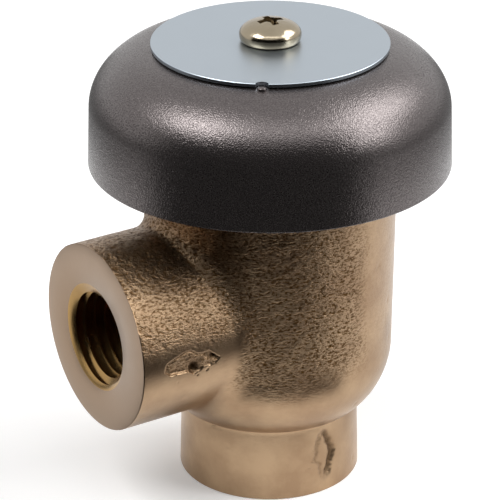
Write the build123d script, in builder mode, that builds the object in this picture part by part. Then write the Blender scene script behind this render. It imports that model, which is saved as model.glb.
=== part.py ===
from build123d import *
import os
from math import cos, radians, sin

# A small atmospheric vacuum breaker: a cast bronze angle body with a threaded inlet below, a
# threaded outlet at the side, and an air vent on top under a painted bell cap.
# All sizes are in millimetres. The origin is the centre of the inlet mouth, +Z runs up the
# valve's axis, and the outlet points along -X.

# Pipe thread of both ports: a quarter-inch taper thread with 18 turns to the inch
thread_pitch = 25.4 / 18
thread_pitch_d = 12.487
thread_flank_h = 0.8 * thread_pitch
thread_minor_r = (thread_pitch_d - thread_flank_h) / 2
thread_mouth_r = 7.0
thread_depth = 11.0

# Body, outside
inlet_boss_r = 11.95
inlet_boss_taper = 0.25
inlet_boss_h = 10.3
inlet_edge_r = 0.4
shoulder_step = 0.9
shoulder_h = 8.0
barrel_r = 16.45
barrel_taper = 0.35
barrel_top_z = 48.5
barrel_edge_r = 0.4
neck_fillet_r = 0.7
outlet_z = 24.95
outlet_reach = 26.3
outlet_boss_r = 12.2
outlet_edge_r = 0.35
outlet_fillet_r = 2.5

# Body, inside
chamber_wall = 3.2
chamber_corner_r = 3.0
inlet_floor_t = 4.0
seat_h = 2.0
seat_land_w = 1.1
seat_collar_w = 2.4
orifice_r = 4.6
outlet_core_r = 5.2
bonnet_thread_wall = 2.85
bonnet_thread_len = 8.5
thread_runout = 1.0
core_overrun = 2.0

# Casting marks: shallow dents left in the skin of the casting
mark_depth = 0.4
mark_corner_r = 0.25
mark_overrun = 1.0
outlet_mark_x = -19.2
outlet_mark_z = 24.7
inlet_mark_z = 5.6
inlet_mark_turn = 4.5
inlet_mark_w = 2.9
inlet_mark_h = 7.0

# Seal between the bonnet and the body
o_ring_wire_r = 0.6
o_ring_room = 0.02

# Bonnet
bonnet_flange_across = 31.0
bonnet_flange_t = 2.5
flange_sides = 8
flange_edge = 0.3
snout_r = 10.2
vent_r = 7.4
vent_land_w = 1.2
vent_lip_h = 0.8
vent_bowl_wall = 2.35
vent_bowl_floor = 3.0
vent_cone_h = 2.0
arm_count = 3
arm_w = 3.2
arm_turn = 90.0
arm_bite = 0.6
arm_drop = 2.0
hub_r = 3.6
hub_drop = 8.5
guide_depth = 9.8

# Poppet, its discs and its stem
float_lift = 5.0
inlet_disc_r = 7.0
inlet_disc_t = 1.8
vent_disc_r = 9.0
vent_disc_t = 1.6
poppet_h = 10.6
holder_wall = 0.9
holder_lip = 0.9
holder_rim_h = 2.0
poppet_waist_r = 4.6
poppet_cone_h = 1.6
stem_r = 1.5
stem_collar_r = 3.2
stem_collar_t = 1.2
stem_reach = 12.4
stem_tail = 0.5
stem_edge = 0.25
washer_r = 3.8
washer_t = 0.5
nut_across = 5.5
nut_t = 2.2
nut_edge = 0.15

# Cap
cap_r = 23.3
cap_draft = 0.033
cap_rim_z = 43.4
cap_top_z = 59.0
cap_corner_r = 10.2
cap_corner_h = 8.1
cap_wall = 1.5
cap_rim_edge = 0.2

# Nameplate and its locating pip
plate_r = 15.1
plate_t = 0.5
notch_r = 0.85
notch_turn = 233.1
pip_r = 0.7

# Cap screw
screw_r = 2.0
screw_len = 8.0
screw_hole_depth = 6.5
head_r = 3.95
head_h = 2.9
head_side_h = 0.9
recess_w = 0.8
recess_len = 4.3
recess_depth = 1.9
recess_taper = 8.0
recess_turn = -7.2

# Clearances
thread_room = 0.05
slide_room = 0.05
hole_room = 0.2
disc_room = 0.1

# Levels and radii that follow from the sizes above
chamber_floor_z = thread_depth + inlet_floor_t
inlet_seat_z = chamber_floor_z + seat_h
poppet_z = inlet_seat_z + inlet_disc_t
vent_disc_z = poppet_z + poppet_h
stem_collar_z = vent_disc_z + vent_disc_t
vent_seat_z = stem_collar_z + float_lift
bonnet_top_z = barrel_top_z + bonnet_flange_t
post_top_z = cap_top_z - cap_wall
plate_top_z = cap_top_z + plate_t
barrel_foot_z = inlet_boss_h + shoulder_h
barrel_foot_r = barrel_r - barrel_taper
chamber_r = barrel_foot_r - chamber_wall
neck_r = inlet_boss_r - inlet_boss_taper
shoulder_foot_r = neck_r + shoulder_step
bonnet_thread_z = barrel_top_z - bonnet_thread_len - thread_runout
bonnet_thread_r = barrel_r - bonnet_thread_wall
bonnet_sleeve_z = barrel_top_z - bonnet_thread_len
bonnet_sleeve_r = bonnet_thread_r - thread_room
vent_bowl_z = bonnet_sleeve_z + vent_bowl_floor
vent_bowl_r = bonnet_sleeve_r - vent_bowl_wall
hub_z = barrel_top_z - hub_drop
nut_z = inlet_seat_z - washer_t - nut_t
stem_hole_r = stem_r + slide_room
pip_x = plate_r * cos(radians(notch_turn))
pip_y = plate_r * sin(radians(notch_turn))

# The seal's groove is a step in the mouth of the barrel, one wire deep and one wire wide
o_ring_r = bonnet_thread_r + o_ring_wire_r + o_ring_room
groove_r = o_ring_r + o_ring_wire_r + o_ring_room
groove_depth = 2 * (o_ring_wire_r + o_ring_room)


def corner_circle(across, sides):
    """Radius of the circle through the corners of a regular nut-like outline."""
    return across / 2 / cos(radians(180 / sides))


# Casting mark on the outlet boss: a wavy dent on the side that faces -Y
outlet_mark_origin = (outlet_mark_x, 0, outlet_mark_z)
with BuildPart() as outlet_mark:
    with BuildSketch(Plane(origin=outlet_mark_origin, x_dir=(1, 0, 0), z_dir=(0, -1, 0))):
        with BuildLine():
            Spline(
                (-4.1, -0.5),
                (-1.6, 1.3),
                (0.2, 1.5),
                (1.4, 0.8),
                (3.0, 0.8),
                (4.0, -0.6),
                (1.9, -1.2),
                (0.0, -1.9),
                (-1.2, -1.1),
                (-3.2, -1.2),
                periodic=True,
            )
        make_face()
    extrude(amount=outlet_boss_r + mark_overrun)
    with Locations(Location((-outlet_reach / 2, 0, outlet_z), (0, 90, 0))):
        Cylinder(outlet_boss_r - mark_depth, outlet_reach, mode=Mode.SUBTRACT)

# Casting mark on the inlet boss: an upright lozenge
inlet_mark_plane = Plane(
    origin=(0, 0, inlet_mark_z),
    x_dir=(cos(radians(inlet_mark_turn)), sin(radians(inlet_mark_turn)), 0),
    z_dir=(sin(radians(inlet_mark_turn)), -cos(radians(inlet_mark_turn)), 0),
)
with BuildPart() as inlet_mark:
    with BuildSketch(inlet_mark_plane) as inlet_mark_outline:
        with BuildLine():
            Polyline(
                (0, inlet_mark_h / 2),
                (inlet_mark_w / 2, 0),
                (inlet_mark_w / 8, -inlet_mark_h / 2),
                (-inlet_mark_w / 8, -inlet_mark_h / 2),
                (-inlet_mark_w / 2, -inlet_mark_h / 16),
                close=True,
            )
        make_face()
        fillet(inlet_mark_outline.vertices(), radius=mark_corner_r)
    extrude(amount=inlet_boss_r + mark_overrun)
    Cylinder(
        neck_r - mark_depth,
        inlet_boss_h,
        align=(Align.CENTER, Align.CENTER, Align.MIN),
        mode=Mode.SUBTRACT,
    )

# Body: one casting
with BuildPart() as body:
    with BuildSketch(Plane.XZ) as outer_outline:
        with BuildLine():
            foot = Line((0, 0), (inlet_boss_r, 0))
            boss_side = Line(foot @ 1, (neck_r, inlet_boss_h))
            step = Line(boss_side @ 1, (shoulder_foot_r, inlet_boss_h))
            wall = Line((barrel_r, barrel_top_z), (barrel_foot_r, barrel_foot_z))
            TangentArc(wall @ 1, step @ 1, tangent=wall % 1)
            Line(wall @ 0, (0, barrel_top_z))
            Line((0, barrel_top_z), (0, 0))
        make_face()
        fillet(outer_outline.vertices().group_by(Axis.Y)[1].sort_by(Axis.X)[0], radius=neck_fillet_r)
        fillet(outer_outline.vertices().group_by(Axis.Y)[0].sort_by(Axis.X)[-1], radius=inlet_edge_r)
        fillet(outer_outline.vertices().group_by(Axis.Y)[-1].sort_by(Axis.X)[-1], radius=barrel_edge_r)
    revolve(axis=Axis.Z)

    outlet_plane = Plane(origin=(-outlet_reach, 0, outlet_z), x_dir=(0, -1, 0), z_dir=(-1, 0, 0))
    with BuildSketch(outlet_plane):
        Circle(outlet_boss_r)
    extrude(amount=-outlet_reach)
    junction = body.edges().filter_by(GeomType.BSPLINE)
    fillet(junction, radius=outlet_fillet_r)
    outlet_rim = body.faces().sort_by(Axis.X)[0].edges()
    fillet(outlet_rim, radius=outlet_edge_r)

    # Inside: orifice, chamber with its raised seat, and the tapped mouth for the bonnet
    with BuildSketch(Plane.XZ) as inner_outline:
        with BuildLine():
            Polyline(
                (0, thread_depth),
                (orifice_r, thread_depth),
                (orifice_r, inlet_seat_z),
                (orifice_r + seat_land_w, inlet_seat_z),
                (orifice_r + seat_collar_w, chamber_floor_z),
                (chamber_r - chamber_corner_r, chamber_floor_z),
            )
            corner = CenterArc(
                (chamber_r - chamber_corner_r, chamber_floor_z + chamber_corner_r),
                chamber_corner_r,
                -90,
                90,
            )
            Polyline(
                corner @ 1,
                (chamber_r, bonnet_thread_z),
                (bonnet_thread_r, bonnet_thread_z),
                (bonnet_thread_r, barrel_top_z - groove_depth),
                (groove_r, barrel_top_z - groove_depth),
                (groove_r, barrel_top_z),
                (0, barrel_top_z),
                (0, thread_depth),
            )
        make_face()
    revolve(axis=Axis.Z, mode=Mode.SUBTRACT)

    # The two pipe threads, as plain bores at the thread's inner radius with a countersunk mouth
    inlet_plane = Plane(origin=(0, 0, 0), x_dir=(1, 0, 0), z_dir=(0, 0, -1))
    with Locations(inlet_plane):
        CounterSinkHole(thread_minor_r, thread_mouth_r, depth=thread_depth, counter_sink_angle=90)
    with Locations(outlet_plane):
        CounterSinkHole(thread_minor_r, thread_mouth_r, depth=thread_depth, counter_sink_angle=90)
        Hole(outlet_core_r, depth=outlet_reach - chamber_r + core_overrun)

    # Dents of the casting
    add(outlet_mark.part, mode=Mode.SUBTRACT)
    add(inlet_mark.part, mode=Mode.SUBTRACT)

# Seal ring in the groove
with BuildPart() as bonnet_o_ring:
    with BuildSketch(Plane.XZ):
        with Locations((o_ring_r, barrel_top_z - groove_depth / 2)):
            Circle(o_ring_wire_r)
    revolve(axis=Axis.Z)

# Bonnet: flange with flats, threaded sleeve, vent seat on a snout, three arms, hub and post
with BuildPart() as bonnet:
    with BuildSketch(Plane.XY.offset(barrel_top_z)):
        flange_corner_r = corner_circle(bonnet_flange_across, flange_sides)
        RegularPolygon(flange_corner_r, flange_sides, rotation=180 / flange_sides)
    extrude(amount=bonnet_flange_t)
    flange_rim = bonnet.edges().filter_by(GeomType.LINE).group_by(Axis.Z)[-1]
    chamfer(flange_rim, length=flange_edge)
    with BuildSketch(Plane.XZ):
        with BuildLine():
            Polyline(
                (0, vent_seat_z),
                (vent_r + vent_land_w, vent_seat_z),
                (vent_r + vent_land_w, vent_seat_z + vent_lip_h),
                (snout_r, vent_seat_z + vent_lip_h),
                (snout_r, bonnet_sleeve_z),
                (bonnet_sleeve_r, bonnet_sleeve_z),
                (bonnet_sleeve_r, barrel_top_z),
                (0, barrel_top_z),
                (0, vent_seat_z),
            )
        make_face()
    revolve(axis=Axis.Z)
    with BuildSketch(Plane.XZ):
        with BuildLine():
            Polyline(
                (0, vent_seat_z),
                (vent_r, vent_seat_z),
                (vent_r, vent_bowl_z - vent_cone_h),
                (vent_bowl_r, vent_bowl_z),
                (vent_bowl_r, bonnet_top_z),
                (0, bonnet_top_z),
                (0, vent_seat_z),
            )
        make_face()
    revolve(axis=Axis.Z, mode=Mode.SUBTRACT)
    with BuildSketch(Plane.XY.offset(vent_bowl_z)):
        with PolarLocations(0, arm_count, start_angle=arm_turn):
            Rectangle(vent_bowl_r + arm_bite, arm_w, align=(Align.MIN, Align.CENTER))
    extrude(amount=bonnet_top_z - arm_drop - vent_bowl_z)
    with BuildSketch(Plane.XY.offset(hub_z)):
        Circle(hub_r)
    extrude(amount=post_top_z - hub_z)
    with Locations(Location((0, 0, hub_z), (180, 0, 0))):
        Hole(stem_r + slide_room, depth=guide_depth)
    with Locations((0, 0, post_top_z)):
        Hole(screw_r + thread_room, depth=screw_hole_depth)

# Poppet: a moulded spool with a shallow pocket at each end for its disc
with BuildPart() as poppet:
    with BuildSketch(Plane.XZ):
        with BuildLine():
            inlet_pocket_r = inlet_disc_r + disc_room
            vent_pocket_r = vent_disc_r + disc_room
            Polyline(
                (stem_hole_r, poppet_z),
                (inlet_pocket_r, poppet_z),
                (inlet_pocket_r, poppet_z - holder_lip),
                (inlet_pocket_r + holder_wall, poppet_z - holder_lip),
                (inlet_pocket_r + holder_wall, poppet_z + holder_rim_h),
                (poppet_waist_r, poppet_z + holder_rim_h + poppet_cone_h),
                (poppet_waist_r, vent_disc_z - holder_rim_h - poppet_cone_h),
                (vent_pocket_r + holder_wall, vent_disc_z - holder_rim_h),
                (vent_pocket_r + holder_wall, vent_disc_z + holder_lip),
                (vent_pocket_r, vent_disc_z + holder_lip),
                (vent_pocket_r, vent_disc_z),
                (stem_hole_r, vent_disc_z),
                (stem_hole_r, poppet_z),
            )
        make_face()
    revolve(axis=Axis.Z)

# Soft discs, each held in its pocket
with BuildPart() as inlet_disc:
    with BuildSketch(Plane.XY.offset(inlet_seat_z)):
        Circle(inlet_disc_r)
        Circle(stem_hole_r, mode=Mode.SUBTRACT)
    extrude(amount=inlet_disc_t)

with BuildPart() as vent_disc:
    with BuildSketch(Plane.XY.offset(vent_disc_z)):
        Circle(vent_disc_r)
        Circle(stem_hole_r, mode=Mode.SUBTRACT)
    extrude(amount=vent_disc_t)

# Washer and nut that clamp the stack from below
with BuildPart() as disc_washer:
    with BuildSketch(Plane.XY.offset(inlet_seat_z - washer_t)):
        Circle(washer_r)
        Circle(stem_hole_r, mode=Mode.SUBTRACT)
    extrude(amount=washer_t)

with BuildPart() as disc_nut:
    with BuildSketch(Plane.XY.offset(nut_z)):
        RegularPolygon(corner_circle(nut_across, 6), 6)
        Circle(stem_r + thread_room, mode=Mode.SUBTRACT)
    extrude(amount=nut_t)
    nut_rims = disc_nut.edges().filter_by(GeomType.LINE).filter_by(Axis.Z, reverse=True)
    chamfer(nut_rims, length=nut_edge)

# Guide stem: a pin with a collar, from the nut up into the hub's guide bore
with BuildPart() as guide_stem:
    with BuildSketch(Plane.XY.offset(nut_z - stem_tail)):
        Circle(stem_r)
    extrude(amount=stem_collar_z + stem_collar_t + stem_reach - nut_z + stem_tail)
    chamfer(guide_stem.edges(), length=stem_edge)
    with BuildSketch(Plane.XY.offset(stem_collar_z)):
        Circle(stem_collar_r)
    extrude(amount=stem_collar_t)


def cap_outline(inset):
    """Draw the closed half section of the bell, drawn in from its outer skin by inset."""
    corner_z = cap_top_z - cap_corner_h
    corner_top_r = cap_r - cap_draft * (corner_z - cap_rim_z)
    side = Line((cap_r - inset, cap_rim_z), (corner_top_r - inset, corner_z))
    arc = EllipticalCenterArc(
        (corner_top_r - cap_corner_r, corner_z),
        cap_corner_r - inset,
        cap_corner_h - inset,
        start_angle=0,
        arc_size=90,
    )
    top = Line(arc @ 1, (0, cap_top_z - inset))
    axis_line = Line(top @ 1, (0, cap_rim_z))
    Line(axis_line @ 1, side @ 0)


# Cap: a bell of even wall with a small locating pip near the edge of its flat top
with BuildPart() as cap:
    with BuildSketch(Plane.XZ):
        with BuildLine():
            cap_outline(0)
        make_face()
        with BuildLine():
            cap_outline(cap_wall)
        make_face(mode=Mode.SUBTRACT)
    revolve(axis=Axis.Z)
    rim_edges = cap.edges().group_by(Axis.Z)[0]
    chamfer(rim_edges, length=cap_rim_edge)
    with Locations((0, 0, cap_top_z)):
        Hole(screw_r + hole_room, depth=cap_wall)
    with Locations((pip_x, pip_y, plate_top_z - pip_r)):
        Sphere(pip_r)
    with BuildSketch(Plane.XY.offset(cap_top_z - cap_wall / 2)):
        with Locations((pip_x, pip_y)):
            Circle(pip_r)
    extrude(amount=plate_top_z - pip_r - cap_top_z + cap_wall / 2)

# Nameplate: a thin disc, bare, with a notch that fits round the pip
with BuildPart() as nameplate:
    with BuildSketch(Plane.XY.offset(cap_top_z)):
        Circle(plate_r)
        Circle(screw_r + hole_room, mode=Mode.SUBTRACT)
        with Locations((pip_x, pip_y)):
            Circle(notch_r, mode=Mode.SUBTRACT)
    extrude(amount=plate_t)

# Cap screw: pan head with a cross recess
with BuildPart() as cap_screw:
    with BuildSketch(Plane.XZ):
        with BuildLine():
            rim_line = Line((head_r, plate_top_z), (head_r, plate_top_z + head_side_h))
            dome = EllipticalCenterArc(
                (0, plate_top_z + head_side_h),
                head_r,
                head_h - head_side_h,
                start_angle=0,
                arc_size=90,
            )
            Polyline(
                dome @ 1,
                (0, plate_top_z - screw_len),
                (screw_r, plate_top_z - screw_len),
                (screw_r, plate_top_z),
                (head_r, plate_top_z),
            )
        make_face()
    revolve(axis=Axis.Z)
    for blade_turn in (recess_turn, recess_turn + 90):
        with BuildSketch(Plane.XY.offset(plate_top_z + head_h)):
            Rectangle(recess_len, recess_w, rotation=blade_turn)
        extrude(amount=-recess_depth, taper=recess_taper, mode=Mode.SUBTRACT)

pieces = {
    "body": body,
    "bonnet_o_ring": bonnet_o_ring,
    "bonnet": bonnet,
    "poppet": poppet,
    "inlet_disc": inlet_disc,
    "vent_disc": vent_disc,
    "disc_washer": disc_washer,
    "disc_nut": disc_nut,
    "guide_stem": guide_stem,
    "cap": cap,
    "nameplate": nameplate,
    "cap_screw": cap_screw,
}
os.makedirs("parts", exist_ok=True)
for name, piece in pieces.items():
    piece.part.label = name
    export_step(piece.part, f"parts/{name}.step")
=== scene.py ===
import math

import bmesh
import bpy
import numpy as np
from mathutils import Matrix, Vector, noise


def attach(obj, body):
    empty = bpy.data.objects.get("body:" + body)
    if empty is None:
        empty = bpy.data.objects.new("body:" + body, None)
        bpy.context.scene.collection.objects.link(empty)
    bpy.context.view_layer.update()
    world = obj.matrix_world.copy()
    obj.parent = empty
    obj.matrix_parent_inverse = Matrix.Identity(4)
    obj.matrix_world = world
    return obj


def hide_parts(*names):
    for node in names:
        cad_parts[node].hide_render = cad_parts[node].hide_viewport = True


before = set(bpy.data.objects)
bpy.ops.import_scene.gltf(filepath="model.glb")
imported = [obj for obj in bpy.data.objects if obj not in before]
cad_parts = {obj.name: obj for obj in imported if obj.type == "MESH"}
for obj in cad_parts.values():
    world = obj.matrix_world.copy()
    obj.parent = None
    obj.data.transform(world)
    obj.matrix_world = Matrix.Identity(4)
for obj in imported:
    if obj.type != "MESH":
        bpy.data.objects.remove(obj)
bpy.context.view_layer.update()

# A small bronze vacuum breaker on a pale studio floor. Sizes below are in millimetres, in the
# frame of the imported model: the origin is the centre of the inlet mouth, +Z runs up the valve
# and the outlet points along -X.
MM = 0.001

# Outside of the casting
boss_r, neck_r, boss_h = 11.95, 11.7, 10.3
shoulder_foot_r, shoulder_top_z = 12.6, 18.3
barrel_foot_r, barrel_r, barrel_top_z = 16.1, 16.45, 48.5
neck_round = 0.7
outlet_z, outlet_reach, outlet_r = 24.95, 26.3, 12.2
outlet_round = 1.6
end_round = 0.15
spare = 1.2

# Inside of the casting
chamber_r, chamber_floor_z, chamber_round = 12.9, 15.0, 3.0
seat_z, orifice_r, seat_land, seat_collar = 17.0, 4.6, 1.1, 2.4
outlet_core_r = 5.2
mouth_r, mouth_z = 13.6, 39.0
groove_r, groove_depth = 14.84, 1.24

# Pipe threads of both ports
pitch = 25.4 / 18
thread_r, thread_mouth_r, thread_depth = 5.6791, 7.0, 11.0
thread_h = 0.8 * pitch
thread_taper = 1 / 32
cone_depth = 0.75

# Cap, plate and screw
cap_r, cap_draft, cap_rim_z, cap_top_z = 23.29, 0.033, 43.4, 59.0
cap_corner_r, cap_corner_h, cap_wall = 10.2, 8.1, 1.5
plate_r, plate_t, notch_r, pip_r = 15.1, 0.5, 0.8, 0.55
screw_hole_r, notch_turn = 2.2, 233.1
screw_r, head_r, head_h = 2.0, 3.95, 2.87
recess_w, recess_len, recess_depth, recess_turn = 1.15, 3.7, 1.9, -7.2

# The casting's skin: the spacing of its mesh, and how deep its waves and pits go
skin_gap = 0.34
wave_depth, ripple_depth, pit_depth, lone_pit_depth = 0.03, 0.15, 0.10, 0.07

# The two dents: how deep each part of them goes
port_dent_depth, port_low_depth, port_pocket_depth, port_lip_depth = 0.07, 0.27, 0.42, 0.13
boss_dent_depth, boss_groove_depth, boss_edge_depth = 0.10, 0.30, 0.07


# Shapes


def arc(centre, radii, start, end, count):
    """Points along part of an ellipse, in degrees."""
    turns = [math.radians(start + (end - start) * i / count) for i in range(count + 1)]
    return [(centre[0] + radii[0] * math.cos(t), centre[1] + radii[1] * math.sin(t)) for t in turns]


def turned(outline, steps, gap=0.0, closed=False):
    """A shape turned on a lathe: the outline of radius and height is spun about the valve's axis."""
    bm = bmesh.new()
    ring = [bm.verts.new((r * MM, 0, z * MM)) for r, z in outline]
    for a, b in list(zip(ring, ring[1:])) + ([(ring[-1], ring[0])] if closed else []):
        edge = bm.edges.new((a, b))
        rows = int(edge.calc_length() / (gap * MM)) if gap and min(a.co.x, b.co.x) > 0 else 1
        for row in range(rows, 1, -1):
            edge = bmesh.utils.edge_split(edge, a, 1 - 1 / row)[0]
    bmesh.ops.spin(
        bm,
        geom=bm.verts[:] + bm.edges[:],
        cent=(0, 0, 0),
        axis=(0, 0, 1),
        angle=math.tau,
        steps=steps,
        use_merge=True,
    )
    bmesh.ops.remove_doubles(bm, verts=bm.verts[:], dist=1e-4 * MM)
    bmesh.ops.recalc_face_normals(bm, faces=bm.faces[:])
    return bm


def as_piece(bm, name, *finishes):
    """The mesh as an object of the scene, with its materials."""
    mesh = bpy.data.meshes.new(name)
    bm.to_mesh(mesh)
    bm.free()
    piece = bpy.data.objects.new(name, mesh)
    bpy.context.scene.collection.objects.link(piece)
    for finish in finishes:
        mesh.materials.append(finish)
    return piece


def carve(work, tool, operation="DIFFERENCE"):
    """Cut one closed shape with another, or join them. The tool is used up."""
    step = work.modifiers.new("carve", "BOOLEAN")
    step.object, step.operation, step.solver = tool, operation, "EXACT"
    step.material_mode = "TRANSFER"
    seen = work.evaluated_get(bpy.context.evaluated_depsgraph_get())
    carved = bpy.data.meshes.new_from_object(seen)
    work.modifiers.remove(step)
    work.data = carved
    bpy.data.objects.remove(tool)


def mend(mesh):
    """Merge the slivers that a cut leaves, and close what opens with them."""
    bm = bmesh.new()
    bm.from_mesh(mesh)
    bmesh.ops.remove_doubles(bm, verts=bm.verts[:], dist=0.003 * MM)
    bmesh.ops.dissolve_degenerate(bm, edges=bm.edges[:], dist=0.002 * MM)
    bmesh.ops.holes_fill(bm, edges=[e for e in bm.edges if e.is_boundary], sides=0)
    bm.to_mesh(mesh)
    bm.free()


def smooth_with_edges(piece, angle):
    """Smooth shading that keeps every edge sharper than the angle, in degrees."""
    piece.data.shade_smooth()
    piece.data.set_sharp_from_angle(angle=math.radians(angle))


to_outlet = Matrix.Translation((-outlet_reach * MM, 0, outlet_z * MM)) @ Matrix.Rotation(
    math.radians(90), 4, "Y"
)


def threaded_bore(length, steps=72):
    """The air inside a tapped hole, from just below its mouth at height 0 up to length."""
    bm = bmesh.new()
    crest, root = 0.05, 0.03
    tooth = [
        (thread_r, 0.0),
        (thread_r, crest * pitch),
        (thread_r + thread_h, 0.5 * pitch + (crest - root) * pitch / 2),
        (thread_r + thread_h, 0.5 * pitch + (crest + root) * pitch / 2),
    ]
    teeth = math.ceil(length / pitch) + 3
    points = [(r, z + (k - 2) * pitch) for k in range(teeth) for r, z in tooth]
    wire = [bm.verts.new((r * MM, 0, z * MM)) for r, z in points]
    for a, b in zip(wire, wire[1:]):
        bm.edges.new((a, b))
    bmesh.ops.spin(
        bm,
        geom=bm.verts[:] + bm.edges[:],
        cent=(0, 0, 0),
        axis=(0, 0, 1),
        dvec=(0, 0, pitch * MM / steps),
        angle=math.tau,
        steps=steps,
    )
    bmesh.ops.remove_doubles(bm, verts=bm.verts[:], dist=1e-3 * MM)
    for height, up in ((-0.5, -1), (length, 1)):
        bmesh.ops.bisect_plane(
            bm,
            geom=bm.verts[:] + bm.edges[:] + bm.faces[:],
            plane_co=(0, 0, height * MM),
            plane_no=(0, 0, up),
            clear_outer=True,
        )
    bmesh.ops.holes_fill(bm, edges=[e for e in bm.edges if e.is_boundary], sides=0)
    for v in bm.verts:
        # The root follows the pipe's taper, and the last thread runs out
        r = math.hypot(v.co.x, v.co.y) / MM
        depth = v.co.z / MM
        if r > thread_r + 1e-4:
            fade = min(1.0, max(0.0, (length - depth) / pitch))
            new = thread_r + (r - thread_r) * fade - thread_taper * depth * (r - thread_r) / thread_h
            v.co.x, v.co.y = v.co.x * new / r, v.co.y * new / r
    bmesh.ops.recalc_face_normals(bm, faces=bm.faces[:])
    return bm


def countersink():
    """The cone at a port's mouth."""
    lip = 0.6
    cone = turned(
        [(0, -lip), (thread_mouth_r, -lip), (thread_mouth_r, 0), (thread_r - 0.4, cone_depth + 0.25)]
        + [(0, cone_depth + 0.25)],
        96,
    )
    return cone


# Casting

# The shoulder is an arc that runs on from the barrel wall down to its foot above the inlet boss
wall_run = Vector((barrel_r - barrel_foot_r, barrel_top_z - shoulder_top_z)).normalized()
shoulder_run = Vector((shoulder_foot_r - barrel_foot_r, boss_h - shoulder_top_z))
wall_in = Vector((-wall_run.y, wall_run.x))
shoulder_r = shoulder_run.length_squared / (2 * wall_in.dot(shoulder_run))
shoulder_c = Vector((barrel_foot_r, shoulder_top_z)) + wall_in * shoulder_r
shoulder_start = math.degrees(math.atan2(boss_h - shoulder_c.y, shoulder_foot_r - shoulder_c.x))
shoulder_end = math.degrees(math.atan2(shoulder_top_z - shoulder_c.y, barrel_foot_r - shoulder_c.x))


def off_barrel(p):
    """Distance of points from the barrel's outside, in millimetres."""
    r, z = np.hypot(p[:, 0], p[:, 1]), p[:, 2]
    wall = (r - barrel_foot_r - (barrel_r - barrel_foot_r) * (z - shoulder_top_z)
            / (barrel_top_z - shoulder_top_z)) * wall_run.y
    ball = np.hypot(r - shoulder_c.x, z - shoulder_c.y) - shoulder_r
    return np.where(z > shoulder_top_z, wall, ball)


def off_outlet(p):
    """Distance of points from the side port's outside, in millimetres."""
    return np.hypot(p[:, 1], p[:, 2] - outlet_z) - outlet_r


def off_fillet(p):
    """How far points are from the round between barrel and port."""
    a, b = outlet_round - off_barrel(p), outlet_round - off_outlet(p)
    return outlet_round - np.hypot(np.maximum(a, 0), np.maximum(b, 0))


def places(mesh):
    """The vertices of a mesh as an array in millimetres."""
    flat = np.empty(len(mesh.vertices) * 3, np.float64)
    mesh.vertices.foreach_get("co", flat)
    return flat.reshape(-1, 3) / MM


def put_places(mesh, p):
    mesh.vertices.foreach_set("co", (p * MM).astype(np.float32).ravel())
    mesh.update()


def round_the_junction(mesh):
    """Move the vertices near the corner of barrel and port onto a cast-in round."""
    p = places(mesh)
    near = (
        (p[:, 0] < -4)
        & (off_barrel(p) < outlet_round)
        & (off_outlet(p) < outlet_round)
        & (p[:, 2] > boss_h + 0.02)
    )
    q = p[near]
    nudge = 0.001
    for _ in range(5):
        f = off_fillet(q)
        slope = np.stack(
            [(off_fillet(q + nudge * axis) - f) / nudge for axis in np.eye(3)], axis=1
        )
        q = q - slope * (f / np.maximum((slope**2).sum(axis=1), 1e-6))[:, None]
    p[near] = q
    put_places(mesh, p)


def ramp(x, low, high):
    """Smooth rise from 0 at low to 1 at high."""
    t = np.clip((x - low) / (high - low), 0, 1)
    return t * t * (3 - 2 * t)


def grain(p, size, stretch=(1, 1, 1), seed=0.0):
    """Natural looking unevenness between -1 and 1, with lumps about as wide as size."""
    q = p / (np.array(stretch) * size) + seed
    return np.array([noise.noise(Vector(v)) for v in q])


def cast_look(p):
    """How rough the sand left each point: 1 on the pitted upper part, 0 on the smooth parts."""
    angle = np.degrees(np.arctan2(p[:, 1], p[:, 0])) % 360
    on_barrel = ramp(-off_barrel(p), -1.5, -0.3)
    drift = grain(p, 9.0, seed=3.1)
    high = ramp(p[:, 2] + 3.5 * drift, 14.5, 22.5)
    turn = (angle - 272 + 14 * drift) % 360
    side = 1 - ramp(turn, 0, 16) * (1 - ramp(turn, 70, 110))
    barrel = high * (0.12 + 0.88 * side)
    port = 0.85 * ramp(p[:, 2] - outlet_z + 1.4 * drift, 0.2, 4.2)
    return port + (barrel - port) * on_barrel


def weather(mesh, patch):
    """Give the casting's skin its waves and pits. Metal is only ever taken away."""
    p = places(mesh)
    normal = np.empty(len(p) * 3, np.float32)
    mesh.vertex_normals.foreach_get("vector", normal)
    normal = normal.reshape(-1, 3)
    rough = np.maximum(cast_look(p), 0.8 * patch)
    waves = wave_depth * (1 + grain(p, 4.0, seed=1.7)) / 2
    ripple = ripple_depth * (1 + grain(p, 0.95, (1.35, 1.35, 0.75), 7.7)) / 2
    ripple *= 1 - 0.45 * ramp(-off_outlet(p), -2.6, -0.2)
    pits = pit_depth * ramp(grain(p, 0.8, seed=5.5), 0.25, 0.6)
    sparse = lone_pit_depth * ramp(grain(p, 1.0, seed=9.5), 0.56, 0.72)
    depth = waves + rough * (ripple + pits) + (1 - rough) * sparse
    put_places(mesh, p - normal * depth[:, None])
    mark = mesh.attributes.new("grit", "FLOAT", "POINT")
    mark.data.foreach_set("value", rough.astype(np.float32))


def inside_by(outline, q):
    """How far flat points lie inside a closed outline, negative where they are outside."""
    a = np.array(outline)
    b = np.roll(a, -1, axis=0)
    run, to = b - a, q[:, None, :] - a
    along = np.clip((to * run).sum(axis=2) / (run**2).sum(axis=1), 0, 1)
    away = np.linalg.norm(to - run * along[:, :, None], axis=2).min(axis=1)
    crosses = (a[:, 1] > q[:, 1, None]) != (b[:, 1] > q[:, 1, None])
    rise = np.where(run[:, 1] == 0, 1e-9, run[:, 1])
    left = q[:, 0, None] < a[:, 0] + run[:, 0] * (q[:, 1, None] - a[:, 1]) / rise
    return np.where((crosses & left).sum(axis=1) % 2 == 1, away, -away)


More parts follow.
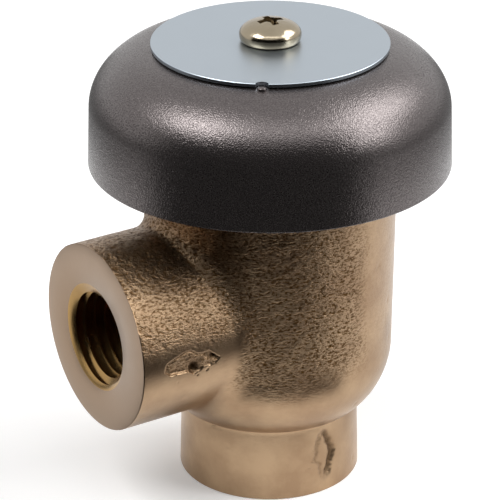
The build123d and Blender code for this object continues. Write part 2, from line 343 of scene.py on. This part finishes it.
def lump(q, centre, size):
    """A round topped lump of height 1 on a flat drawing."""
    return np.exp(-(((q - np.array(centre)) / np.array(size)) ** 2).sum(axis=1))


# Outlines of the two dents in the casting: along the port and height, and round the boss and height
port_dent = [
    (-23.3, 24.3), (-22.95, 25.3), (-21.75, 25.8), (-20.5, 26.25), (-19.4, 26.35), (-18.55, 25.7),
    (-17.8, 25.55), (-16.9, 25.6), (-16.15, 25.0), (-15.3, 24.35), (-15.9, 23.6), (-17.6, 23.6),
    (-19.0, 22.85), (-19.6, 23.4), (-22.5, 23.6),
]
boss_dent_left = [
    (-0.3, 1.8), (-0.68, 2.2), (-0.87, 4.1), (-1.75, 4.8), (-1.6, 6.2), (-1.0, 8.5), (-0.2, 9.1),
]
boss_dent_right = [(0.64, 1.8), (1.3, 3.7), (1.9, 5.4), (1.2, 7.3), (0.3, 9.1)]
boss_dent_turn = 275.0


def make_dents(mesh):
    """Press the two foundry dents into the skin, on a mesh made finer there first.

    Gives back where the sand broke the skin open, from 0 to 1, and stores on the mesh how dark the painted
    shade in the dents is.
    """
    bm = bmesh.new()
    bm.from_mesh(mesh)
    mid = np.array([f.calc_center_median() for f in bm.faces]) / MM
    mid_turn = np.degrees(np.arctan2(mid[:, 1], mid[:, 0])) % 360
    on_port = (mid[:, 1] < -8) & (np.abs(mid[:, 0] + 19.3) < 4.6) & (np.abs(mid[:, 2] - 24.6) < 2.4)
    on_boss = (np.abs(mid_turn - boss_dent_turn) < 12) & (np.abs(mid[:, 2] - 5.4) < 4.3)
    bm.faces.ensure_lookup_table()
    edges = {e for i in np.nonzero(on_port | on_boss)[0] for e in bm.faces[i].edges}
    bmesh.ops.subdivide_edges(bm, edges=list(edges), cuts=3, use_grid_fill=True)
    bm.to_mesh(mesh)
    bm.free()
    p = places(mesh)

    # On the port: a shallow patch with a sharp upper edge, two pockets and a lump between them
    out = np.stack([np.zeros(len(p)), p[:, 1], p[:, 2] - outlet_z], axis=1)
    out /= np.maximum(np.linalg.norm(out, axis=1), 1e-6)[:, None]
    q = p[:, [0, 2]]
    at_port = (p[:, 1] < -8) & (np.abs(off_outlet(p)) < 0.3) & (q[:, 0] < -14.5)
    deep = inside_by(port_dent, q) + 0.09 * grain(p, 0.55, seed=21.0) + 0.05 * grain(p, 0.25, seed=4.0)
    within = ramp(deep, -0.08, 0.2)
    low = ramp(25.6 - q[:, 1], 0, 1.9)
    line = np.exp(-(((deep - 0.08) / 0.15) ** 2)) * (1 - 0.9 * ramp(25.3 - q[:, 1], 0, 0.9))
    pockets = lump(q, (-19.05, 23.75), (0.5, 0.75)) + lump(q, (-16.0, 24.75), (0.8, 0.5))
    lower_left = port_low_depth * low * ramp(-18.2 - q[:, 0], -0.6, 0.8)
    form = within * (port_dent_depth + lower_left + port_pocket_depth * pockets)
    form += port_lip_depth * line - 0.12 * within * lump(q, (-17.35, 24.4), (0.8, 0.3))
    p -= out * np.where(at_port, np.maximum(form, 0), 0)[:, None]
    # Painted shade: the two pockets and the line along the sharp upper edge are darkened in colour,
    # standing in for the shade that falls in them.
    dent_shade = np.where(at_port, within * np.minimum(0.1 + pockets, 1) + 0.3 * line, 0)
    patch = np.where(at_port, within, 0)

    # On the inlet boss: a leaf shaped hollow, deepest along its right side
    out = np.stack([p[:, 0], p[:, 1], np.zeros(len(p))], axis=1)
    out /= np.maximum(np.linalg.norm(out, axis=1), 1e-6)[:, None]
    turn = np.degrees(np.arctan2(p[:, 1], p[:, 0])) % 360 - boss_dent_turn
    q = np.stack([np.radians(turn) * neck_r, p[:, 2]], axis=1)
    on_skin = (p[:, 2] < boss_h - 0.7) & (np.hypot(p[:, 0], p[:, 1]) > neck_r - 0.4)
    at_boss = on_skin & (np.abs(turn) < 20)
    shake = 0.30 * grain(p, 1.1, seed=33.0) + 0.12 * grain(p, 0.45, seed=8.0)
    left, right = (
        np.interp(q[:, 1], [z for _, z in side], [u for u, _ in side])
        for side in (boss_dent_left, boss_dent_right)
    )
    ends = ramp(q[:, 1], 1.3, 3.0) * ramp(-q[:, 1], -9.4, -8.0)
    off_left, off_right = q[:, 0] - left + shake, right - q[:, 0] + shake
    within = ends * ramp(off_left, -0.3, 0.3) * ramp(off_right, -0.3, 0.3)
    band = ends * np.exp(-(((off_right - 0.45) / 0.5) ** 2))
    edge = ends * np.exp(-(((off_left - 0.1) / 0.34) ** 2)) * ramp(off_right, 0.2, 1.0)
    form = boss_dent_depth * within + boss_groove_depth * band + boss_edge_depth * edge
    form -= 0.09 * lump(q, (-1.35, 4.3), (0.3, 0.3)) * within
    p -= out * np.where(at_boss, np.maximum(form, 0), 0)[:, None]
    # Painted shade: the deep groove down the hollow's right side and its left edge are darkened in colour,
    # standing in for the shade in them.
    dent_shade += np.where(at_boss, 0.03 * within + 0.62 * band + 0.26 * edge, 0)
    patch = np.maximum(patch, np.where(at_boss, 0.55 * band + 0.2 * edge, 0))
    put_places(mesh, p)
    mark = mesh.attributes.new("dent_shade", "FLOAT", "POINT")
    mark.data.foreach_set("value", np.clip(dent_shade, 0, 1).astype(np.float32))
    return patch


def end_tool(start_r, end_height):
    """What a lathe takes off an end: everything past height 0, and a small round at the rim."""
    rim = arc((start_r - end_round, end_round), (end_round, end_round), -90, -2, 6)
    return turned(
        [(0, -end_height), (start_r + 1.5, -end_height), (start_r + 1.5, end_round)]
        + [(start_r + 0.02, end_round)]
        + rim[::-1]
        + [(0, 0)],
        256,
    )


def make_body(skin_finish, faced_finish, tapped_finish, bore_finish):
    neck = arc((neck_r + neck_round, boss_h - neck_round), (-neck_round, neck_round), 0, 90, 5)
    shoulder = arc(shoulder_c, (shoulder_r, shoulder_r), shoulder_start, shoulder_end, 26)
    outline = (
        [(0, -spare), (boss_r + 0.03, -spare)]
        + neck
        + shoulder
        + [(barrel_r - 0.01, barrel_top_z - 2), (barrel_r, barrel_top_z + spare), (0, barrel_top_z + spare)]
    )
    steps = int(math.tau * barrel_r / skin_gap)
    body = as_piece(turned(outline, steps, skin_gap), "valve_body_casting", skin_finish)
    port = turned(
        [(0, -spare), (outlet_r, -spare), (outlet_r, outlet_reach - 5), (0, outlet_reach - 5)],
        int(math.tau * outlet_r / skin_gap),
        skin_gap,
    )
    port.transform(to_outlet)
    carve(body, as_piece(port, "port", skin_finish), "UNION")
    round_the_junction(body.data)
    weather(body.data, make_dents(body.data))
    for rim_r, place in (
        (boss_r, Matrix.Identity(4)),
        (outlet_r, to_outlet),
        (barrel_r, Matrix.Translation((0, 0, barrel_top_z * MM)) @ Matrix.Rotation(math.pi, 4, "X")),
    ):
        tool = end_tool(rim_r, spare + 2)
        tool.transform(place)
        carve(body, as_piece(tool, "facing_tool", faced_finish))

    inside = [
        (0, thread_depth - 1),
        (orifice_r, thread_depth - 1),
        (orifice_r, seat_z),
        (orifice_r + seat_land, seat_z),
        (orifice_r + seat_collar, chamber_floor_z),
    ]
    inside += arc(
        (chamber_r - chamber_round, chamber_floor_z + chamber_round),
        (chamber_round, chamber_round),
        -90,
        0,
        8,
    )
    inside += [
        (chamber_r, mouth_z),
        (mouth_r, mouth_z),
        (mouth_r, barrel_top_z - groove_depth),
        (groove_r, barrel_top_z - groove_depth),
        (groove_r, barrel_top_z + spare + 1),
        (0, barrel_top_z + spare + 1),
    ]
    hollow = as_piece(turned(inside, 128), "hollow", bore_finish)
    core = turned([(0, 10), (outlet_core_r, 10), (outlet_core_r, 15), (0, 15)], 64)
    core.transform(to_outlet)
    carve(hollow, as_piece(core, "core", bore_finish), "UNION")
    for place in (Matrix.Identity(4), to_outlet):
        tap = as_piece(threaded_bore(thread_depth), "tap", tapped_finish)
        carve(tap, as_piece(countersink(), "cone", tapped_finish), "UNION")
        mend(tap.data)
        tap.data.transform(place)
        carve(hollow, tap, "UNION")
        mend(hollow.data)
    carve(body, hollow)
    mend(body.data)
    smooth_with_edges(body, 42)
    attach(body, "valve_body")
    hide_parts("body")


# Cap, plate and screw


def cap_side(inset):
    """Half outline of the bell from its rim up to its flat top."""
    corner_z = cap_top_z - cap_corner_h
    corner_top_r = cap_r - cap_draft * (corner_z - cap_rim_z)
    return [(cap_r - inset, cap_rim_z)] + arc(
        (corner_top_r - cap_corner_r, corner_z),
        (cap_corner_r - inset, cap_corner_h - inset),
        0,
        90,
        28,
    )


def make_cap(finish):
    edge = 0.2
    outer, inner = cap_side(0), cap_side(cap_wall)
    rim_out = arc((cap_r - edge, cap_rim_z + edge), (edge, edge), 0, -90, 3)
    rim_in = arc((cap_r - cap_wall + edge, cap_rim_z + edge), (-edge, edge), -90, 0, 3)
    outline = (
        [(screw_hole_r, cap_top_z - cap_wall), (screw_hole_r, cap_top_z)]
        + outer[:0:-1]
        + rim_out
        + rim_in
        + inner[1:]
    )
    cap = as_piece(turned(outline, 224, closed=True), "bell_cap", finish)
    pip_x = plate_r * math.cos(math.radians(notch_turn))
    pip_y = plate_r * math.sin(math.radians(notch_turn))
    pip = turned(
        [(0, cap_top_z - 0.7), (pip_r + 0.1, cap_top_z - 0.7), (pip_r + 0.05, cap_top_z)]
        + arc((0, cap_top_z + 0.02), (pip_r, 0.12), 0, 90, 6),
        32,
    )
    pip.transform(Matrix.Translation((pip_x * MM, pip_y * MM, 0)))
    carve(cap, as_piece(pip, "pip", finish), "UNION")
    smooth_with_edges(cap, 40)
    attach(cap, "valve_body")
    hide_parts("cap")


def make_plate(finish):
    top, soft = cap_top_z + plate_t, 0.06
    outline = (
        [(screw_hole_r, cap_top_z + 0.01), (plate_r - soft, cap_top_z + 0.01)]
        + [(plate_r, cap_top_z + soft), (plate_r, top - soft), (plate_r - soft, top)]
        + [(screw_hole_r, top)]
    )
    plate = as_piece(turned(outline, 192, closed=True), "name_plate", finish)
    notch = turned(
        [(0, cap_top_z - 1), (notch_r, cap_top_z - 1), (notch_r, top + 1), (0, top + 1)], 40
    )
    notch.transform(
        Matrix.Translation(
            (
                plate_r * MM * math.cos(math.radians(notch_turn)),
                plate_r * MM * math.sin(math.radians(notch_turn)),
                0,
            )
        )
    )
    carve(plate, as_piece(notch, "notch", finish))
    smooth_with_edges(plate, 40)
    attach(plate, "valve_body")
    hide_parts("nameplate")


def make_screw(finish):
    """The cap screw: a pan head with rounded sides and a worn cross recess."""
    top_z, seat = cap_top_z + plate_t + head_h, cap_top_z + plate_t
    belly = seat + 1.0
    outline = (
        arc((0, belly), (head_r, top_z - belly), 90, 0, 18)
        + arc((head_r - 0.45, belly), (0.45, 0.97), 0, -90, 6)[1:]
        + [(screw_r, seat + 0.03), (screw_r, seat - 7.8), (screw_r - 0.2, seat - 8.0), (0, seat - 8.0)]
    )
    screw = as_piece(turned(outline, 72), "pan_head_screw", finish)
    cross = None
    for turn in (recess_turn, recess_turn + 90):
        blade = bmesh.new()
        bmesh.ops.create_cube(blade, size=1.0)
        bmesh.ops.scale(blade, vec=(recess_len, recess_w, recess_depth + 1), verts=blade.verts[:])
        foot = [v for v in blade.verts if v.co.z < 0]
        bmesh.ops.scale(blade, vec=(0.72, 0.4, 1), verts=foot)
        bmesh.ops.rotate(
            blade, cent=(0, 0, 0), matrix=Matrix.Rotation(math.radians(turn), 3, "Z"), verts=blade.verts[:]
        )
        bmesh.ops.translate(blade, vec=(0, 0, top_z + (1 - recess_depth) / 2), verts=blade.verts[:])
        bmesh.ops.scale(blade, vec=(MM, MM, MM), verts=blade.verts[:])
        piece = as_piece(blade, "blade", finish)
        if cross is None:
            cross = piece
        else:
            carve(cross, piece, "UNION")
    hollow = turned(
        [(0, top_z - recess_depth - 0.1), (0.45, top_z - recess_depth)]
        + [(1.05, top_z + 0.5), (0, top_z + 0.5)],
        24,
    )
    carve(cross, as_piece(hollow, "hollow", finish), "UNION")
    carve(screw, cross)
    p = places(screw.data)
    r = np.hypot(p[:, 0], p[:, 1])
    worn = ramp(r, 3.0, 2.0) * ramp(p[:, 2], top_z - 0.9, top_z - 0.5)
    p[:, 2] -= 0.07 * worn * (1 + grain(p, 0.45, seed=12.0)) / 2
    put_places(screw.data, p)
    smooth_with_edges(screw, 35)
    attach(screw, "valve_body")
    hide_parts("cap_screw")


# Finishes


def srgb(code):
    """A colour of the screen, written in hex, as the linear values that shaders take."""
    parts = [int(code[i : i + 2], 16) / 255 for i in (1, 3, 5)]
    return tuple(c / 12.92 if c <= 0.04045 else ((c + 0.055) / 1.055) ** 2.4 for c in parts) + (1.0,)


def per(size):
    """Scale of a noise whose lumps are this many millimetres wide."""
    return 1 / (size * MM)


def add(tree, kind, links=None, values=None, **settings):
    """Add one node with its settings, its fixed values and its incoming links."""
    node = tree.nodes.new(kind)
    for key, value in settings.items():
        setattr(node, key, value)
    for key, value in (values or {}).items():
        node.inputs[key].default_value = value
    for key, source in (links or {}).items():
        tree.links.new(source, node.inputs[key])
    return node


def new_finish(name):
    finish = bpy.data.materials.new(name)
    finish.use_nodes = True
    finish.node_tree.nodes.clear()
    return finish, finish.node_tree


def close_finish(tree, shader):
    add(tree, "ShaderNodeOutputMaterial", {"Surface": shader.outputs[0]})


def cast_bronze_finish():
    """Sand-cast red brass, tumbled: a warm satin skin, darker and rougher in its pits, with painted shade
    in the two dents.
    """
    finish, tree = new_finish("sand_cast_bronze")
    place = add(tree, "ShaderNodeTexCoord").outputs["Object"]
    grit = add(tree, "ShaderNodeAttribute", attribute_name="grit").outputs["Fac"]
    dent_shade = add(tree, "ShaderNodeAttribute", attribute_name="dent_shade").outputs["Fac"]
    squash = add(tree, "ShaderNodeMapping", {"Vector": place}, {"Scale": (0.75, 0.75, 1.5)})
    sand = add(
        tree,
        "ShaderNodeTexNoise",
        {"Vector": squash.outputs[0]},
        {"Scale": per(0.36), "Detail": 3.0, "Roughness": 0.62},
    ).outputs[0]
    satin = add(
        tree, "ShaderNodeTexNoise", {"Vector": place}, {"Scale": per(0.25), "Detail": 2.0}
    ).outputs[0]
    cloud = add(
        tree,
        "ShaderNodeTexNoise",
        {"Vector": place},
        {"Scale": per(6.0), "Detail": 4.0, "Roughness": 0.6},
    ).outputs[0]
    cloud = add(
        tree, "ShaderNodeMapRange", {"Value": cloud}, {"From Min": 0.35, "From Max": 0.65}
    ).outputs[0]
    tone = add(
        tree,
        "ShaderNodeMix",
        {0: cloud},
        {6: srgb("#9b8065"), 7: srgb("#b09577")},
        data_type="RGBA",
    ).outputs[2]
    pit = add(
        tree,
        "ShaderNodeMapRange",
        {"Value": sand},
        {"From Min": 0.39, "From Max": 0.54, "To Min": 1.0, "To Max": 0.0},
    ).outputs[0]
    pit = add(tree, "ShaderNodeMath", {0: pit, 1: grit}, operation="MULTIPLY").outputs[0]
    pitted = add(
        tree, "ShaderNodeMix", {0: pit, 6: tone}, {7: srgb("#5e4222")}, data_type="RGBA"
    ).outputs[2]
    # Painted shade: the two dents are darkened towards a deep brown and made duller, following the shade
    # attribute pressed in with them.
    dent_shaded_tone = add(
        tree, "ShaderNodeMix", {0: dent_shade, 6: pitted}, {7: srgb("#4a3622")}, data_type="RGBA"
    ).outputs[2]
    dent_shade_amount = add(
        tree, "ShaderNodeMapRange", {"Value": dent_shade}, {"From Min": 0.0, "From Max": 0.45}
    ).outputs[0]
    dull = add(tree, "ShaderNodeMath", {0: pit, 1: dent_shade_amount}, operation="MAXIMUM").outputs[0]
    gloss = add(
        tree, "ShaderNodeMapRange", {"Value": dull}, {"To Min": 0.31, "To Max": 0.50}
    ).outputs[0]
    depth = add(
        tree, "ShaderNodeMapRange", {"Value": grit}, {"To Min": 0.10, "To Max": 1.0}
    ).outputs[0]
    grit_bump = add(
        tree, "ShaderNodeBump", {"Height": sand, "Strength": depth}, {"Distance": 0.17 * MM}
    ).outputs[0]
    fine_bump = add(
        tree,
        "ShaderNodeBump",
        {"Height": satin, "Normal": grit_bump},
        {"Strength": 0.35, "Distance": 0.03 * MM},
    ).outputs[0]
    shader = add(
        tree,
        "ShaderNodeBsdfPrincipled",
        {"Base Color": dent_shaded_tone, "Roughness": gloss, "Normal": fine_bump},
        {"Metallic": 1.0},
    )
    close_finish(tree, shader)
    return finish


def plain_finish(name, light, dark, roughness, grain_mm, depth, metallic=1.0, spread=0.04):
    """A machined, rolled or moulded surface with fine unevenness in tone, gloss and height.

    Tool marks are finer than a picture shows, so they are drawn grain_mm wide.
    """
    finish, tree = new_finish(name)
    place = add(tree, "ShaderNodeTexCoord").outputs["Object"]
    cloud = add(
        tree, "ShaderNodeTexNoise", {"Vector": place}, {"Scale": per(3.0), "Detail": 4.0}
    ).outputs[0]
    fine = add(
        tree, "ShaderNodeTexNoise", {"Vector": place}, {"Scale": per(grain_mm), "Detail": 2.0}
    ).outputs[0]
    tone = add(
        tree,
        "ShaderNodeMix",
        {0: cloud},
        {6: srgb(dark), 7: srgb(light)},
        data_type="RGBA",
    ).outputs[2]
    gloss = add(
        tree,
        "ShaderNodeMapRange",
        {"Value": cloud},
        {"From Min": 0.3, "From Max": 0.7, "To Min": roughness - spread, "To Max": roughness + spread},
    ).outputs[0]
    bump = add(
        tree, "ShaderNodeBump", {"Height": fine}, {"Strength": 0.5, "Distance": depth * MM}
    ).outputs[0]
    shader = add(
        tree,
        "ShaderNodeBsdfPrincipled",
        {"Base Color": tone, "Roughness": gloss, "Normal": bump},
        {"Metallic": metallic},
    )
    close_finish(tree, shader)
    return finish


def powder_coat_finish():
    """Pewter grey metallic powder coat, baked on: a fine grained satin coat with bright flakes.

    The flakes are really about 0.05 mm wide and are drawn coarser, so that they show.
    """
    finish, tree = new_finish("pewter_powder_coat")
    place = add(tree, "ShaderNodeTexCoord").outputs["Object"]
    flakes = add(
        tree, "ShaderNodeTexNoise", {"Vector": place}, {"Scale": per(0.17), "Detail": 1.0}
    ).outputs[0]
    orange_peel = add(
        tree, "ShaderNodeTexNoise", {"Vector": place}, {"Scale": per(0.45), "Detail": 2.0}
    ).outputs[0]
    lit = add(
        tree, "ShaderNodeMapRange", {"Value": flakes}, {"From Min": 0.38, "From Max": 0.62}
    ).outputs[0]
    tone = add(
        tree, "ShaderNodeMix", {0: lit}, {6: srgb("#565050"), 7: srgb("#6b6564")}, data_type="RGBA"
    ).outputs[2]
    gloss = add(
        tree, "ShaderNodeMapRange", {"Value": lit}, {"To Min": 0.30, "To Max": 0.20}
    ).outputs[0]
    coarse = add(
        tree, "ShaderNodeBump", {"Height": orange_peel}, {"Strength": 0.5, "Distance": 0.03 * MM}
    ).outputs[0]
    bump = add(
        tree,
        "ShaderNodeBump",
        {"Height": flakes, "Normal": coarse},
        {"Strength": 1.0, "Distance": 0.045 * MM},
    ).outputs[0]
    shader = add(
        tree,
        "ShaderNodeBsdfPrincipled",
        {"Base Color": tone, "Roughness": gloss, "Normal": bump},
        {"Metallic": 0.88},
    )
    close_finish(tree, shader)
    return finish


finishes = {
    "cast": cast_bronze_finish(),
    # The same bronze faced on a lathe: even, satin and a little paler
    "faced": plain_finish("faced_bronze", "#9d8772", "#937d68", 0.32, 0.3, 0.01),
    # Freshly cut threads: bright and more yellow
    "tapped": plain_finish("tapped_bronze", "#b3925f", "#957445", 0.24, 0.3, 0.01),
    # Inside left by the sand core: dull and dark
    "bore": plain_finish("cored_bronze", "#5c4e3d", "#463a2c", 0.5, 0.5, 0.05),
    "coat": powder_coat_finish(),
    # Rolled aluminium sheet under clear lacquer: a cool, even sheen
    "plate": plain_finish("rolled_aluminium", "#acb5bd", "#a8b1b9", 0.35, 0.3, 0.004, spread=0.012),
    # Brass, nickel plated and handled: glossy champagne with duller spots
    "screw": plain_finish("nickel_plated_brass", "#a89c87", "#8b806d", 0.17, 0.5, 0.03),
    # Bar brass, turned: yellow and glossy, a little browner where it was handled
    "brass": plain_finish("turned_bar_brass", "#c2a25f", "#b29356", 0.3, 0.3, 0.004),
    # Moulded rubber: matt black with a faint grey bloom
    "rubber": plain_finish("moulded_nitrile", "#222221", "#181818", 0.6, 0.3, 0.02, metallic=0.0),
    # Injection moulded acetal: milky white with a soft sheen
    "acetal": plain_finish("moulded_acetal", "#dfdfd8", "#d6d6cd", 0.4, 0.5, 0.01, metallic=0.0),
    # Moulded silicone rubber: matt brick red
    "silicone": plain_finish("moulded_silicone", "#a44431", "#963b2a", 0.5, 0.4, 0.01, metallic=0.0),
    # Stainless steel, turned: cool grey and glossy
    "stainless": plain_finish("turned_stainless", "#b8b8b6", "#abaaa8", 0.25, 0.3, 0.004),
}

make_body(finishes["cast"], finishes["faced"], finishes["tapped"], finishes["bore"])
make_cap(finishes["coat"])
make_plate(finishes["plate"])
make_screw(finishes["screw"])
for node, finish in (
    ("bonnet", "brass"),
    ("bonnet_o_ring", "rubber"),
    ("poppet", "acetal"),
    ("inlet_disc", "silicone"),
    ("vent_disc", "silicone"),
    ("disc_washer", "stainless"),
    ("disc_nut", "stainless"),
    ("guide_stem", "stainless"),
):
    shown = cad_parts[node]
    shown.data.materials.clear()
    shown.data.materials.append(finishes[finish])


# Studio


def seen_ray(tree):
    """1 for rays that see the background itself, straight, mirrored or through something."""
    path = add(tree, "ShaderNodeLightPath").outputs
    pair = add(
        tree, "ShaderNodeMath", {0: path["Is Camera Ray"], 1: path["Is Glossy Ray"]}, operation="MAXIMUM"
    ).outputs[0]
    return add(
        tree, "ShaderNodeMath", {0: pair, 1: path["Is Transmission Ray"]}, operation="MAXIMUM"
    ).outputs[0]


world = bpy.data.worlds.new("studio")
bpy.context.scene.world = world
world.use_nodes = True
world.node_tree.nodes.clear()
soft_light = add(world.node_tree, "ShaderNodeBackground", values={"Strength": 0.3})
backdrop = add(world.node_tree, "ShaderNodeBackground", values={"Strength": 1.0})
soft_light.inputs["Color"].default_value = backdrop.inputs["Color"].default_value = (1, 1, 1, 1)
sky = add(
    world.node_tree,
    "ShaderNodeMixShader",
    {0: seen_ray(world.node_tree), 1: soft_light.outputs[0], 2: backdrop.outputs[0]},
)
add(world.node_tree, "ShaderNodeOutputWorld", {"Surface": sky.outputs[0]})

floor_bm = bmesh.new()
bmesh.ops.create_grid(floor_bm, x_segments=1, y_segments=1, size=2.0)
floor_finish, floor_tree = new_finish("pale_floor")
paper = add(floor_tree, "ShaderNodeBsdfDiffuse", values={"Color": srgb("#f2f2f2")})
glow = add(floor_tree, "ShaderNodeEmission", values={"Strength": 0.26})
lift = add(
    floor_tree, "ShaderNodeMixShader", {0: seen_ray(floor_tree), 1: paper.outputs[0]}
)
both = add(floor_tree, "ShaderNodeAddShader", {0: paper.outputs[0], 1: glow.outputs[0]})
floor_tree.links.new(both.outputs[0], lift.inputs[2])
close_finish(floor_tree, lift)
bmesh.ops.translate(floor_bm, vec=(0, 0, -0.02 * MM), verts=floor_bm.verts[:])
floor = as_piece(floor_bm, "studio_floor", floor_finish)

view_turn, view_back, view_height = -33.175, 314.75, 176.06
view_pan, view_tilt = 0.464, -24.82
card_left, card_right = 74, 60


def around(azimuth, back, height):
    """A point out from the valve's axis: azimuth 0 is on the -Y side, in degrees."""
    a = math.radians(azimuth)
    return Vector((math.sin(a) * back, -math.cos(a) * back, height)) * MM


def floor_card(name, start, end, line, finish):
    """A card round part of the valve, seen only in the reflections of its metal."""
    bm = bmesh.new()
    points = [bm.verts.new((r * MM, 0, z * MM)) for r, z in line]
    for pair in zip(points, points[1:]):
        bm.edges.new(pair)
    bmesh.ops.rotate(
        bm,
        cent=(0, 0, 0),
        matrix=Matrix.Rotation(math.radians(view_turn - 90 + start), 3, "Z"),
        verts=bm.verts[:],
    )
    bmesh.ops.spin(
        bm,
        geom=bm.verts[:] + bm.edges[:],
        cent=(0, 0, 0),
        axis=(0, 0, 1),
        angle=math.radians(end - start),
        steps=24,
    )
    card = as_piece(bm, name, finish)
    card.visible_camera = card.visible_diffuse = card.visible_shadow = False


def card_finish(name, near, far, near_r, far_r):
    """Matt card, printed with a soft change of tone away from the valve."""
    finish, tree = new_finish(name)
    from_axis = add(
        tree,
        "ShaderNodeVectorMath",
        {0: add(tree, "ShaderNodeTexCoord").outputs["Object"]},
        operation="LENGTH",
    ).outputs["Value"]
    fade = add(
        tree,
        "ShaderNodeMapRange",
        {"Value": from_axis},
        {"From Min": near_r * MM, "From Max": far_r * MM},
        interpolation_type="SMOOTHSTEP",
    ).outputs[0]
    shade = add(
        tree, "ShaderNodeMix", {0: fade}, {6: srgb(near), 7: srgb(far)}, data_type="RGBA"
    ).outputs[2]
    close_finish(tree, add(tree, "ShaderNodeBsdfDiffuse", {"Color": shade}))
    return finish


# A black card in front, on the floor and standing up behind the camera, gives the polished metal
# its dark side. Grey cards on the floor at both sides hold back the glare on the cap's wall.
black_card = card_finish("black_card", "#e8e8e8", "#0e0c0a", 28, 50)
grey_card = card_finish("grey_card", "#e8e8e8", "#8a8a8a", 105, 140)
floor_card("front_card", -card_left, card_right, ((28, 0.5), (700, 0.5), (700, 620)), black_card)
floor_card("left_card", -165, -card_left, ((105, 0.4), (900, 0.4)), grey_card)
floor_card("right_card", card_right, 165, ((105, 0.4), (900, 0.4)), grey_card)


def soft_box(name, azimuth, elevation, width, height, power):
    """A rectangular soft light 600 mm from the valve."""
    lamp = bpy.data.lights.new(name, "AREA")
    lamp.shape, lamp.size, lamp.size_y, lamp.energy = "RECTANGLE", width * MM, height * MM, power
    holder = bpy.data.objects.new(name, lamp)
    bpy.context.scene.collection.objects.link(holder)
    e = math.radians(elevation)
    place = around(azimuth, 600 * math.cos(e), 600 * math.sin(e) + 40)
    holder.location = place
    holder.rotation_euler = (place - Vector((0, 0, 0.04))).to_track_quat("Z", "Y").to_euler()


soft_box("left_box", view_turn - 66, 54, 300, 240, 1.75)
soft_box("right_box", view_turn + 98, 46, 500, 300, 2.6)
soft_box("side_box", view_turn + 70, 25, 170, 170, 0.7)
soft_box("front_box", view_turn + 2, 65, 560, 130, 0.45)

lens = bpy.data.cameras.new("camera")
lens.lens, lens.sensor_width = 191.709, 36.0
lens.clip_start, lens.clip_end = 0.01, 10
camera = bpy.data.objects.new("camera", lens)
bpy.context.scene.collection.objects.link(camera)
camera.matrix_world = (
    Matrix.Translation(around(view_turn, view_back, view_height))
    @ Matrix.Rotation(math.radians(view_turn + view_pan), 4, "Z")
    @ Matrix.Rotation(math.radians(90 + view_tilt), 4, "X")
)
bpy.context.scene.camera = camera
bpy.context.scene.view_settings.view_transform = "Standard"
